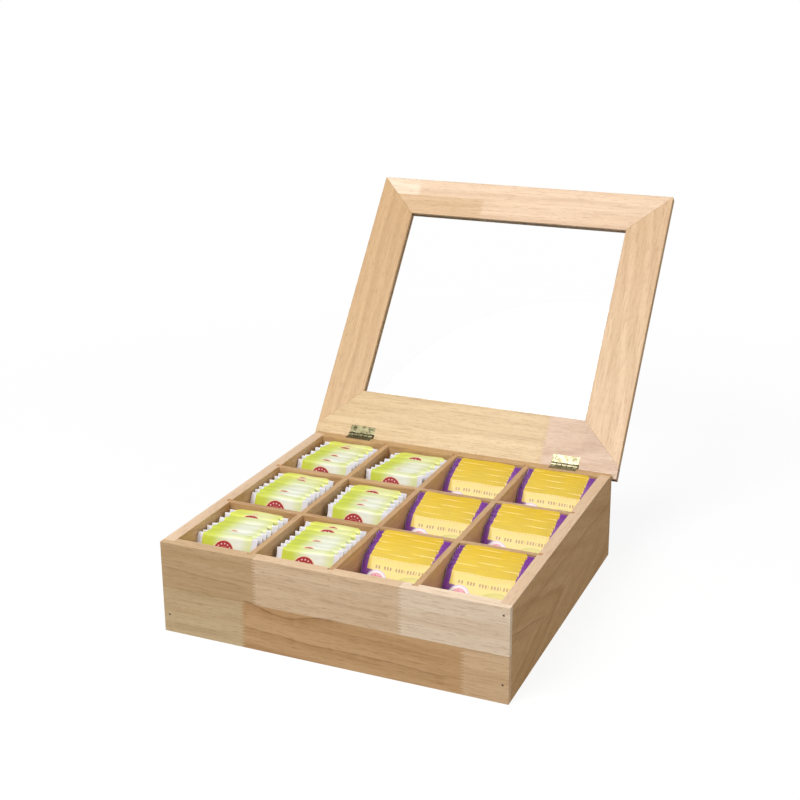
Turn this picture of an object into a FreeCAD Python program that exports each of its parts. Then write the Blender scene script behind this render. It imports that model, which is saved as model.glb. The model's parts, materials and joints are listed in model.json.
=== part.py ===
import FreeCAD, Part
import math
import os

# Open tea storage box: a wooden case of twelve compartments, a framed lid with a clear pane
# leaning back on two brass hinges, and a stack of wrapped sachets in every compartment.
# Millimetres. The origin is the middle of the underside, +Z is up and the front faces -Y.

# case
WIDTH = 300.0          # side to side
DEPTH = 280.0          # front to back
HEIGHT = 80.0          # up to the rim
WALL = 10.0            # thickness of the four walls
LIP = 5.0              # what is left of the front and back panels over the side panels' ends
FLOOR = 4.0            # thickness of the floor panel
COLUMNS = 4            # compartments side to side
ROWS = 3               # compartments front to back
DIVIDER = 5.0          # thickness of the dividers
DADO = 3.5             # depth of the divider slots in the walls
DROP = 1.0             # dividers' tops below the rim
BRAD = 0.8             # radius of the nails in the front corners
BRAD_LENGTH = 20.0
BRAD_LOW = 15.5        # lower nail above the underside
BRAD_HIGH = 7.0        # upper nail below the rim

# lid
LID = 8.0              # thickness
RAIL = 40.0            # width of the mitred rails
STRIP = 12.0           # square-ended part of the hinge rail behind its mitres
OVERHANG = 4.0         # beyond the case at each side
OVERHANG_FRONT = 2.0   # beyond the case at the front
PANE = 2.0             # thickness of the clear pane
PANE_SEAT = 4.0        # how far the pane goes into the rails
OPEN = 128.0           # degrees from closed to the stop
STOP_GAP = 0.3         # air left between the lid's tail and the back wall at the stop

# hinges
HINGE_INSET = 46.0     # middle of each hinge from the case's side
HINGE = 26.0           # length
LEAF = 10.0            # pin to the far edge of a leaf
LEAF_THICK = 1.0
KNUCKLE = 2.2          # radius of the barrel
KNUCKLES = 5           # three on the case, two on the lid
KNUCKLE_AIR = 0.4      # round the barrel and between its knuckles
PIN = 1.0              # radius of the pin
PIN_FIT = 0.05         # radial clearance of pins, screws and nails
PIN_OUT = 3.8          # pin behind the back wall
SCREW = 0.9            # radius of the shank
SCREW_HEAD = 1.8       # radius of the head
SCREW_HEAD_THICK = 0.6
SCREW_LENGTH = 6.0
SCREW_SPREAD = 17.0    # between the two screws of a leaf

# sachets: side room left in the compartment, tops below the rim at the rear, leans of the first
# and the last in degrees, gaps before the first foot and behind the last top, sideways and
# downward scatter, steps in the outline of the stack, and for each compartment the gaps at the
# left of its first and last sachets
GREEN = dict(room=9.8, under=3.0, lean=(21.5, 19.5), front=2.5, rear=1.5, side=0.3, sink=1.6, tiers=4,
             drift=((0.4, 4.0), (0.4, 3.3), (0.4, 6.0), (4.0, 5.0), (5.5, 3.5), (1.5, 9.4)))
YELLOW = dict(room=1.3, under=0.3, lean=(36.5, 22.0), front=4.0, rear=0.5, side=0.4, sink=0.8, tiers=5,
              drift=((0.3, 0.5),))
GREEN_COLUMNS = 2      # columns holding the green kind, from the left

# derived
HALF_X = WIDTH / 2
HALF_Y = DEPTH / 2
IN_X = HALF_X - WALL
IN_Y = HALF_Y - WALL
DIVIDER_TOP = HEIGHT - DROP
LAP = (FLOOR + DIVIDER_TOP) / 2
PIN_Y = HALF_Y + PIN_OUT
HINGE_PLACE = HALF_X - HINGE_INSET
TAIL = (PIN_OUT - STOP_GAP) / abs(math.cos(math.radians(OPEN)))
GAIN = KNUCKLE + KNUCKLE_AIR
SCREW_Y = PIN_Y - (GAIN + LEAF) / 2
LID_X = HALF_X + OVERHANG
LID_FRONT = -HALF_Y - OVERHANG_FRONT
LID_BACK = PIN_Y + TAIL
PANE_Z = HEIGHT + (LID - PANE) / 2
CLEAR_X = (2 * IN_X - (COLUMNS - 1) * DIVIDER) / COLUMNS
CLEAR_Y = (2 * IN_Y - (ROWS - 1) * DIVIDER) / ROWS
LONG_X = [-IN_X + (i + 1) * CLEAR_X + (i + 0.5) * DIVIDER for i in range(COLUMNS - 1)]
CROSS_Y = [-IN_Y + (i + 1) * CLEAR_Y + (i + 0.5) * DIVIDER for i in range(ROWS - 1)]


def block(x0, x1, y0, y1, z0, z1):
    low = FreeCAD.Vector(min(x0, x1), min(y0, y1), min(z0, z1))
    return Part.makeBox(abs(x1 - x0), abs(y1 - y0), abs(z1 - z0), low)


def rod(radius, length, x, y, z, direction):
    return Part.makeCylinder(radius, length, FreeCAD.Vector(x, y, z), FreeCAD.Vector(*direction))


def prism(corners, sweep):
    points = [FreeCAD.Vector(*corner) for corner in corners]
    return Part.Face(Part.makePolygon(points + points[:1])).extrude(FreeCAD.Vector(*sweep))


def brad_places(side):
    # the lower nail is driven at both ends, the upper one only at the right
    heights = [BRAD_LOW] + ([HEIGHT - BRAD_HIGH] if side > 0 else [])
    return [(side * (HALF_X - WALL / 2), z) for z in heights]


def brad(x, z, radius):
    return rod(radius, BRAD_LENGTH, x, -HALF_Y, z, (0, 1, 0))


def screw_places():
    return [(side * HINGE_PLACE + end * SCREW_SPREAD / 2) for side in (-1, 1) for end in (-1, 1)]


def screw(x, way, fit):
    # way is -1 for the screws going down into the case and 1 for those going up into the lid
    head = rod(SCREW_HEAD + fit, SCREW_HEAD_THICK, x, SCREW_Y, HEIGHT, (0, 0, way))
    return head.fuse(rod(SCREW + fit, SCREW_LENGTH, x, SCREW_Y, HEIGHT, (0, 0, way))).removeSplitter()


def end_panel(side):
    # front (-1) or back (1) panel, rebated at its ends for the side panels and below for the floor
    shoulder = side * (HALF_Y - LIP)
    cuts = [block(end * IN_X, end * HALF_X, shoulder, side * IN_Y, 0, HEIGHT) for end in (-1, 1)]
    cuts.append(block(-IN_X, IN_X, shoulder, side * IN_Y, 0, FLOOR))
    for x in LONG_X:
        cuts.append(block(x - DIVIDER / 2, x + DIVIDER / 2, side * IN_Y, side * (IN_Y + DADO), FLOOR, HEIGHT))
    if side < 0:
        cuts += [brad(x, z, BRAD + PIN_FIT) for end in (-1, 1) for x, z in brad_places(end)]
    else:
        for place in (-HINGE_PLACE, HINGE_PLACE):
            ends = place - HINGE / 2, place + HINGE / 2
            cuts.append(block(*ends, PIN_Y - LEAF, HALF_Y, HEIGHT - LEAF_THICK, HEIGHT))
        cuts += [screw(x, -1, PIN_FIT) for x in screw_places()]
    return block(-HALF_X, HALF_X, side * HALF_Y, side * IN_Y, 0, HEIGHT).cut(cuts)


def side_panel(side):
    ends = HALF_Y - LIP
    cuts = [block(side * IN_X, side * (HALF_X - LIP), -ends, ends, 0, FLOOR)]
    for y in CROSS_Y:
        cuts.append(block(side * IN_X, side * (IN_X + DADO), y - DIVIDER / 2, y + DIVIDER / 2, FLOOR, HEIGHT))
    cuts += [brad(x, z, BRAD + PIN_FIT) for x, z in brad_places(side)]
    return block(side * IN_X, side * HALF_X, -ends, ends, 0, HEIGHT).cut(cuts)


def crossing(x, y, z0, z1):
    half = DIVIDER / 2
    return block(x - half, x + half, y - half, y + half, z0, z1)


def long_divider(x):
    ends = IN_Y + DADO
    plate = block(x - DIVIDER / 2, x + DIVIDER / 2, -ends, ends, FLOOR, DIVIDER_TOP)
    return plate.cut([crossing(x, y, LAP, DIVIDER_TOP) for y in CROSS_Y])


def cross_divider(y):
    ends = IN_X + DADO
    plate = block(-ends, ends, y - DIVIDER / 2, y + DIVIDER / 2, FLOOR, DIVIDER_TOP)
    return plate.cut([crossing(x, y, FLOOR, LAP) for x in LONG_X])


def pane():
    edge_x = LID_X - RAIL + PANE_SEAT
    front = LID_FRONT + RAIL - PANE_SEAT
    back = LID_BACK - STRIP - RAIL + PANE_SEAT
    return block(-edge_x, edge_x, front, back, PANE_Z, PANE_Z + PANE)


def rail(corners):
    return prism([(x, y, HEIGHT) for x, y in corners], (0, 0, LID)).cut(pane())


def lid_rails():
    # mitred at 45 degrees; the hinge rail runs on behind its mitres out to the lid's sides
    front, front_in = LID_FRONT, LID_FRONT + RAIL
    back, mitre, back_in = LID_BACK, LID_BACK - STRIP, LID_BACK - STRIP - RAIL
    out, inner = LID_X, LID_X - RAIL
    rails = {"front": rail([(-out, front), (out, front), (inner, front_in), (-inner, front_in)])}
    for name, side in (("left", -1), ("right", 1)):
        far, near = side * out, side * inner
        rails[name] = rail([(far, front), (far, mitre), (near, back_in), (near, front_in)])
    ends = [(-out, back), (-out, mitre), (-inner, back_in)]
    hinge_rail = rail(ends + [(-x, y) for x, y in reversed(ends)])
    cuts = [screw(x, 1, PIN_FIT) for x in screw_places()]
    for place in (-HINGE_PLACE, HINGE_PLACE):
        ends = place - HINGE / 2, place + HINGE / 2
        cuts.append(block(*ends, PIN_Y - LEAF, PIN_Y, HEIGHT, HEIGHT + LEAF_THICK))
        room = HINGE / 2 + KNUCKLE_AIR
        cuts.append(block(place - room, place + room, PIN_Y - GAIN, PIN_Y + GAIN, HEIGHT, HEIGHT + GAIN))
    rails["hinge"] = hinge_rail.cut(cuts)
    return rails


def leaf(place, way, own):
    # hinge leaf with the knuckles listed in own; way is -1 on the case and 1 on the lid
    start, step = place - HINGE / 2, HINGE / KNUCKLES
    plate = block(start, start + HINGE, PIN_Y - LEAF, PIN_Y - GAIN, HEIGHT, HEIGHT + way * LEAF_THICK)
    for number in own:
        x0 = start + number * step + KNUCKLE_AIR / 2
        x1 = x0 + step - KNUCKLE_AIR
        tongue = block(x0, x1, PIN_Y - GAIN, PIN_Y, HEIGHT, HEIGHT + way * LEAF_THICK)
        plate = plate.fuse([tongue, rod(KNUCKLE, x1 - x0, x0, PIN_Y, HEIGHT, (1, 0, 0))])
    cuts = [rod(PIN + PIN_FIT, HINGE, start, PIN_Y, HEIGHT, (1, 0, 0))]
    cuts += [screw(x, way, PIN_FIT) for x in screw_places()]
    return plate.cut(cuts).removeSplitter()


def scatter(tier, seed):
    return ((3 * tier + 2 * seed) % 5) / 4


def stack(kind, left, front, seed):
    # one solid for all the sachets of a compartment; each tier is a leaning slab with its own
    # place and height, and shares its rear face with the front face of the next
    first, last = [math.radians(lean) for lean in kind["lean"]]
    width = CLEAR_X - kind["room"]
    tall = (HEIGHT - kind["under"] - FLOOR) / math.cos(last)
    foot = CLEAR_Y - kind["rear"] - tall * math.sin(last)
    tiers = kind["tiers"]
    near, far = kind["drift"][seed % len(kind["drift"])]
    shares = [i / tiers for i in range(tiers + 1)]
    feet = [front + kind["front"] + (foot - kind["front"]) * share for share in shares]
    leans = [first + (last - first) * share for share in shares]
    slabs = []
    for i in range(tiers):
        x = left + near + (far - near) * i / (tiers - 1) + kind["side"] * scatter(i, seed)
        length = tall - kind["sink"] * scatter(i + 1, 2 * seed + 1)
        corners = [(x, feet[i], FLOOR), (x, feet[i + 1], FLOOR)]
        for j in (i + 1, i):
            top = FLOOR + length * math.cos(leans[j])
            corners.append((x, feet[j] + length * math.sin(leans[j]), top))
        slabs.append(prism(corners, (width, 0, 0)))
    return slabs[0].fuse(slabs[1:]).removeSplitter()


def stacks():
    made = {}
    for column in range(COLUMNS):
        for row in range(ROWS):
            green = column < GREEN_COLUMNS
            number = row * GREEN_COLUMNS + column % GREEN_COLUMNS + 1
            left = -IN_X + column * (CLEAR_X + DIVIDER)
            front = -IN_Y + row * (CLEAR_Y + DIVIDER)
            name = "sachets_%s_%d" % ("green" if green else "yellow", number)
            made[name] = stack(GREEN if green else YELLOW, left, front, column * ROWS + row)
    return made


case = {
    "panel_front": end_panel(-1),
    "panel_back": end_panel(1),
    "panel_left": side_panel(-1),
    "panel_right": side_panel(1),
    "panel_floor": block(-HALF_X + LIP, HALF_X - LIP, -HALF_Y + LIP, HALF_Y - LIP, 0, FLOOR),
}
for count, x in enumerate(LONG_X, 1):
    case["divider_long_%d" % count] = long_divider(x)
for count, y in enumerate(CROSS_Y, 1):
    case["divider_cross_%d" % count] = cross_divider(y)
for count, (x, z) in enumerate(brad_places(-1) + brad_places(1), 1):
    case["brad_%d" % count] = brad(x, z, BRAD)
case.update(stacks())

lid = {"lid_rail_" + name: shape for name, shape in lid_rails().items()}
lid["lid_pane"] = pane()

for name, side in (("left", -1), ("right", 1)):
    place = side * HINGE_PLACE
    case["hinge_%s_case_leaf" % name] = leaf(place, -1, range(0, KNUCKLES, 2))
    lid["hinge_%s_lid_leaf" % name] = leaf(place, 1, range(1, KNUCKLES, 2))
    case["hinge_%s_pin" % name] = rod(PIN, HINGE, place - HINGE / 2, PIN_Y, HEIGHT, (1, 0, 0))
for count, x in enumerate(screw_places(), 1):
    case["screw_case_%d" % count] = screw(x, -1, 0)
    lid["screw_lid_%d" % count] = screw(x, 1, 0)

for shape in lid.values():
    shape.rotate(FreeCAD.Vector(0, PIN_Y, HEIGHT), FreeCAD.Vector(1, 0, 0), -OPEN)

os.makedirs("parts", exist_ok=True)
for name, shape in list(case.items()) + list(lid.items()):
    shape.exportStep("parts/" + name + ".step")
    print(name, len(shape.Solids), round(shape.Volume), shape.isValid())
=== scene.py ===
import json
import logging
import math
from dataclasses import dataclass, field
from enum import Enum
from typing import Callable, Iterable, Sequence

import bpy
from mathutils import Matrix, Vector

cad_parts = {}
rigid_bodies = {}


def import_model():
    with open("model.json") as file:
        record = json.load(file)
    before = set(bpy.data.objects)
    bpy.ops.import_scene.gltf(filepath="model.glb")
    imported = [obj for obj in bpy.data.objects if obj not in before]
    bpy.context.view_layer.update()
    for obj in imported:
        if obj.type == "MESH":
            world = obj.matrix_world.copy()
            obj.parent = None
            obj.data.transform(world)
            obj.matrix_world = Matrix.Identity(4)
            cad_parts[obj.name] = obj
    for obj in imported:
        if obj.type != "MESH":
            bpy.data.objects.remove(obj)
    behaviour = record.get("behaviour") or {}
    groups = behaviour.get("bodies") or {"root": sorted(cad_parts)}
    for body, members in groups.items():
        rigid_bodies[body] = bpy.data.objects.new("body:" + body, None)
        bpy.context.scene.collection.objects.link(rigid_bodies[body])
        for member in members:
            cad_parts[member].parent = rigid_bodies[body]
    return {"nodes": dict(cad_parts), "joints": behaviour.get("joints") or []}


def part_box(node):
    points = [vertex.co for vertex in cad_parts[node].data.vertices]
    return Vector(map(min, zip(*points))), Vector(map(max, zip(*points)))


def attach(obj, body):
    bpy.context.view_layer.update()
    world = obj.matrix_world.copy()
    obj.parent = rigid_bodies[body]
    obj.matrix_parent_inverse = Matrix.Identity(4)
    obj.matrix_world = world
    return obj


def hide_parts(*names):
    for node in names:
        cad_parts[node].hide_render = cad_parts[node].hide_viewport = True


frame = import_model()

# An open wooden tea storage box: a case of twelve compartments with wrapped sachets leaning in
# each, and a framed clear lid laid back on two brass hinges. Lengths are in metres.

LOG = logging.getLogger("tea_storage_box")
Colour = tuple[float, float, float]
Numbers = Sequence[float]
Piece = bpy.types.Object
Material = bpy.types.Material
Node = bpy.types.Node
Socket = bpy.types.NodeSocket
Sockets = bpy.types.bpy_prop_collection


def tone(red: float, green: float, blue: float) -> Colour:
    """A colour given on the 0 to 255 scale, turned into the linear values that shaders use."""
    def linear(value: float) -> float:
        part = value / 255
        return part / 12.92 if part <= 0.04045 else ((part + 0.055) / 1.055) ** 2.4
    return linear(red), linear(green), linear(blue)


def unevenness(step: int, seed: int) -> float:
    """How far one thing in a row strays, from 0 to 1, the same on every run."""
    return ((3 * step + 2 * seed) % 5) / 4


# ---------------------------------------------------------------------------------------------
# bench: modelling by hand, one object at a time


class Bench:
    """Small steps of hand modelling on one selected object."""

    @staticmethod
    def take(piece: Piece) -> None:
        """Selects the piece alone and makes it the active object."""
        Bench.clear()
        bpy.context.view_layer.objects.active = piece
        piece.select_set(True)

    @staticmethod
    def clear() -> None:
        """Deselects everything before a primitive is added."""
        for other in bpy.context.view_layer.objects:
            other.select_set(False)

    @staticmethod
    def finish(piece: Piece, name: str) -> Piece:
        """Names the piece and puts its place, turn and size into its mesh.

        Args:
            piece: the object that is finished.
            name: its name in the table of pieces.

        Returns:
            The same object, at the origin and unturned.
        """
        Bench.take(piece)
        bpy.ops.object.transform_apply(location=True, rotation=True, scale=True)
        piece.name = name
        piece.data.name = name
        return piece

    @staticmethod
    def edit(piece: Piece, steps: Callable[[], None], everything: bool = True) -> None:
        """Runs modelling steps in edit mode.

        Args:
            piece: the object to edit.
            steps: a function that calls the edit-mode operators.
            everything: whether the whole mesh is selected first.
        """
        Bench.take(piece)
        bpy.ops.object.mode_set(mode="EDIT")
        bpy.context.tool_settings.mesh_select_mode = (False, False, True)
        if everything:
            bpy.ops.mesh.select_all(action="SELECT")
        steps()
        bpy.ops.object.mode_set(mode="OBJECT")

    @staticmethod
    def pick_faces(piece: Piece, test: Callable[[bpy.types.MeshPolygon], bool]) -> None:
        """Selects the faces that pass the test, and nothing else.

        Args:
            piece: the object whose faces are chosen.
            test: says of one face whether it is chosen.
        """
        mesh = piece.data
        for vertex in mesh.vertices:
            vertex.select = False
        for edge in mesh.edges:
            edge.select = False
        for face in mesh.polygons:
            face.select = test(face)

    @staticmethod
    def modify(piece: Piece, kind: str, **settings: object) -> None:
        """Adds a modifier, sets it and applies it.

        Args:
            piece: the object that is modified.
            kind: Blender's name for the modifier type.
            settings: the modifier's own settings.
        """
        Bench.take(piece)
        bpy.ops.object.modifier_add(type=kind)
        modifier = piece.modifiers[-1]
        for key, value in settings.items():
            setattr(modifier, key, value)
        bpy.ops.object.modifier_apply(modifier=modifier.name)

    @staticmethod
    def smooth(piece: Piece, degrees: float = 35.0) -> None:
        """Shades the piece smooth except across edges sharper than the angle."""
        Bench.take(piece)
        bpy.ops.object.shade_smooth_by_angle(angle=math.radians(degrees), keep_sharp_edges=False)

    @staticmethod
    def level(piece: Piece) -> None:
        """Lets the large flat faces decide the shading at their rounded edges."""
        Bench.modify(piece, "WEIGHTED_NORMAL", mode="FACE_AREA", weight=100, keep_sharp=True)

    @staticmethod
    def copy_of(source: Piece, name: str) -> Piece:
        """Copies an object with a mesh of its own.

        Args:
            source: the object that is copied.
            name: the copy's name.

        Returns:
            The copy, at the origin.
        """
        piece = bpy.data.objects.new(name, source.data.copy())
        piece.data.name = name
        bpy.context.scene.collection.objects.link(piece)
        return piece

    @staticmethod
    def from_node(node: str, name: str) -> Piece:
        """A merged copy of a CAD node's mesh with its flat faces made whole.

        Args:
            node: the CAD node.
            name: the new piece's name.

        Returns:
            The new piece, ready for its edges to be rounded.
        """
        piece = Bench.copy_of(frame["nodes"][node], name)
        piece.data.materials.clear()

        def steps() -> None:
            """Merges the loose triangles and dissolves the edges inside flat faces."""
            bpy.ops.mesh.remove_doubles(threshold=2e-6)
            bpy.ops.mesh.dissolve_limited(angle_limit=math.radians(0.6))
            bpy.ops.mesh.normals_make_consistent(inside=False)

        Bench.edit(piece, steps)
        return piece

    @staticmethod
    def join(parts: Sequence[Piece], name: str) -> Piece:
        """Joins several objects into one piece.

        Args:
            parts: the objects, of which the first keeps its materials' order.
            name: the joined piece's name.

        Returns:
            The joined piece.
        """
        Bench.take(parts[0])
        for part in parts:
            part.select_set(True)
        bpy.context.view_layer.objects.active = parts[0]
        bpy.ops.object.join()
        parts[0].name = name
        parts[0].data.name = name
        return parts[0]


# ---------------------------------------------------------------------------------------------
# shader trees


@dataclass
class Tree:
    """Builds one shader node tree in a few words."""

    tree: bpy.types.NodeTree

    def node(self, kind: str, **settings: object) -> Node:
        """Adds a node and sets its properties."""
        made = self.tree.nodes.new("ShaderNode" + kind)
        for key, value in settings.items():
            setattr(made, key, value)
        return made

    def feed(self, socket: Socket, value: object) -> None:
        """Links a socket to the value if that is a socket too, and sets it otherwise."""
        if isinstance(value, Socket):
            self.tree.links.new(value, socket)
        elif value is not None:
            if socket.type == "RGBA" and len(value) == 3:
                value = (*value, 1.0)
            socket.default_value = value

    def math(self, operation: str, first: object, second: object = None, clamp: bool = False,
             third: object = None) -> Socket:
        """A sum, product or other operation on numbers."""
        node = self.node("Math", operation=operation, use_clamp=clamp)
        for socket, value in zip(node.inputs, (first, second, third)):
            self.feed(socket, value)
        return node.outputs[0]

    def times(self, first: object, second: object) -> Socket:
        """A product of two numbers."""
        return self.math("MULTIPLY", first, second)

    def plus(self, first: object, second: object, clamp: bool = False) -> Socket:
        """A sum of two numbers."""
        return self.math("ADD", first, second, clamp)

    def minus(self, first: object, second: object) -> Socket:
        """A difference of two numbers."""
        return self.math("SUBTRACT", first, second)

    def bump(self, shader: Node, height: Socket, strength: float, distance: float) -> None:
        """Raises the shader's surface by a height, in metres.

        Args:
            shader: the Principled shader.
            height: the height from 0 to 1.
            strength: how strongly it shows.
            distance: how deep a height of 1 is.
        """
        node = self.node("Bump")
        node.inputs["Strength"].default_value = strength
        node.inputs["Distance"].default_value = distance
        self.feed(node.inputs["Height"], height)
        self.feed(shader.inputs["Normal"], node.outputs[0])

    def vector(self, operation: str, first: object, second: object = None) -> Socket:
        """An operation on vectors."""
        node = self.node("VectorMath", operation=operation)
        self.feed(node.inputs[0], first)
        self.feed(node.inputs[1], second)
        return node.outputs["Value" if operation in ("LENGTH", "DISTANCE", "DOT_PRODUCT") else "Vector"]

    def mix(self, factor: object, first: object, second: object, blend: str = "MIX") -> Socket:
        """A blend of two colours."""
        node = self.node("Mix", data_type="RGBA", blend_type=blend)
        self.feed(node.inputs[0], factor)
        self.feed(node.inputs[6], first)
        self.feed(node.inputs[7], second)
        return node.outputs[2]

    def mix_vector(self, factor: object, first: object, second: object) -> Socket:
        """A blend of two vectors."""
        node = self.node("Mix", data_type="VECTOR")
        self.feed(node.inputs[0], factor)
        self.feed(node.inputs[4], first)
        self.feed(node.inputs[5], second)
        return node.outputs[1]

    def noise(self, at: object, scale: float, detail: float = 2.0, rough: float = 0.5) -> Socket:
        """Smooth noise from 0 to 1."""
        node = self.node("TexNoise")
        self.feed(node.inputs["Vector"], at)
        self.feed(node.inputs["Scale"], scale)
        self.feed(node.inputs["Detail"], detail)
        self.feed(node.inputs["Roughness"], rough)
        return node.outputs[0]

    def remap(self, value: object, low: float, high: float, to_low: float = 0.0,
              to_high: float = 1.0, smooth: bool = True) -> Socket:
        """Carries a value from one range to another, clamped at its ends."""
        node = self.node("MapRange", interpolation_type="SMOOTHSTEP" if smooth else "LINEAR")
        for socket, given in zip(node.inputs, (value, low, high, to_low, to_high)):
            self.feed(socket, given)
        return node.outputs[0]

    def parts(self, vector: object) -> tuple[Socket, ...]:
        """The three parts of a vector."""
        node = self.node("SeparateXYZ")
        self.feed(node.inputs[0], vector)
        return tuple(node.outputs)

    def joined(self, x: object = 0.0, y: object = 0.0, z: object = 0.0) -> Socket:
        """A vector from three numbers."""
        node = self.node("CombineXYZ")
        for socket, value in zip(node.inputs, (x, y, z)):
            self.feed(socket, value)
        return node.outputs[0]

    def group(self, name: str, **inputs: object) -> Node:
        """Places a shared effect and feeds its inputs."""
        node = self.node("Group", node_tree=bpy.data.node_groups[name])
        for key, value in inputs.items():
            self.feed(node.inputs[key], value)
        return node


def begin_material(name: str) -> tuple[Material, Tree, Node]:
    """A new material.

    Args:
        name: the material's name.

    Returns:
        The material, its tree and its Principled shader.
    """
    made = bpy.data.materials.new(name)
    made.use_nodes = True
    return made, Tree(made.node_tree), made.node_tree.nodes["Principled BSDF"]


@dataclass(frozen=True)
class Effect:
    """A shader node group that several materials share."""

    name: str
    inputs: tuple[tuple[str, str, object], ...]
    outputs: tuple[tuple[str, str], ...]

    def build(self, body: Callable[[Tree, Sockets], dict[str, Socket]]) -> None:
        """Makes the group.

        Args:
            body: draws the inside of the group and returns the socket for each output.
        """
        tree = bpy.data.node_groups.new(self.name, "ShaderNodeTree")
        for name, kind, value in self.inputs:
            socket = tree.interface.new_socket(name, in_out="INPUT", socket_type="NodeSocket" + kind)
            if value is not None:
                socket.default_value = value
        for name, kind in self.outputs:
            tree.interface.new_socket(name, in_out="OUTPUT", socket_type="NodeSocket" + kind)
        inside = Tree(tree)
        made = body(inside, tree.nodes.new("NodeGroupInput").outputs)
        end = tree.nodes.new("NodeGroupOutput")
        for name, socket in made.items():
            tree.links.new(socket, end.inputs[name])


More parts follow.
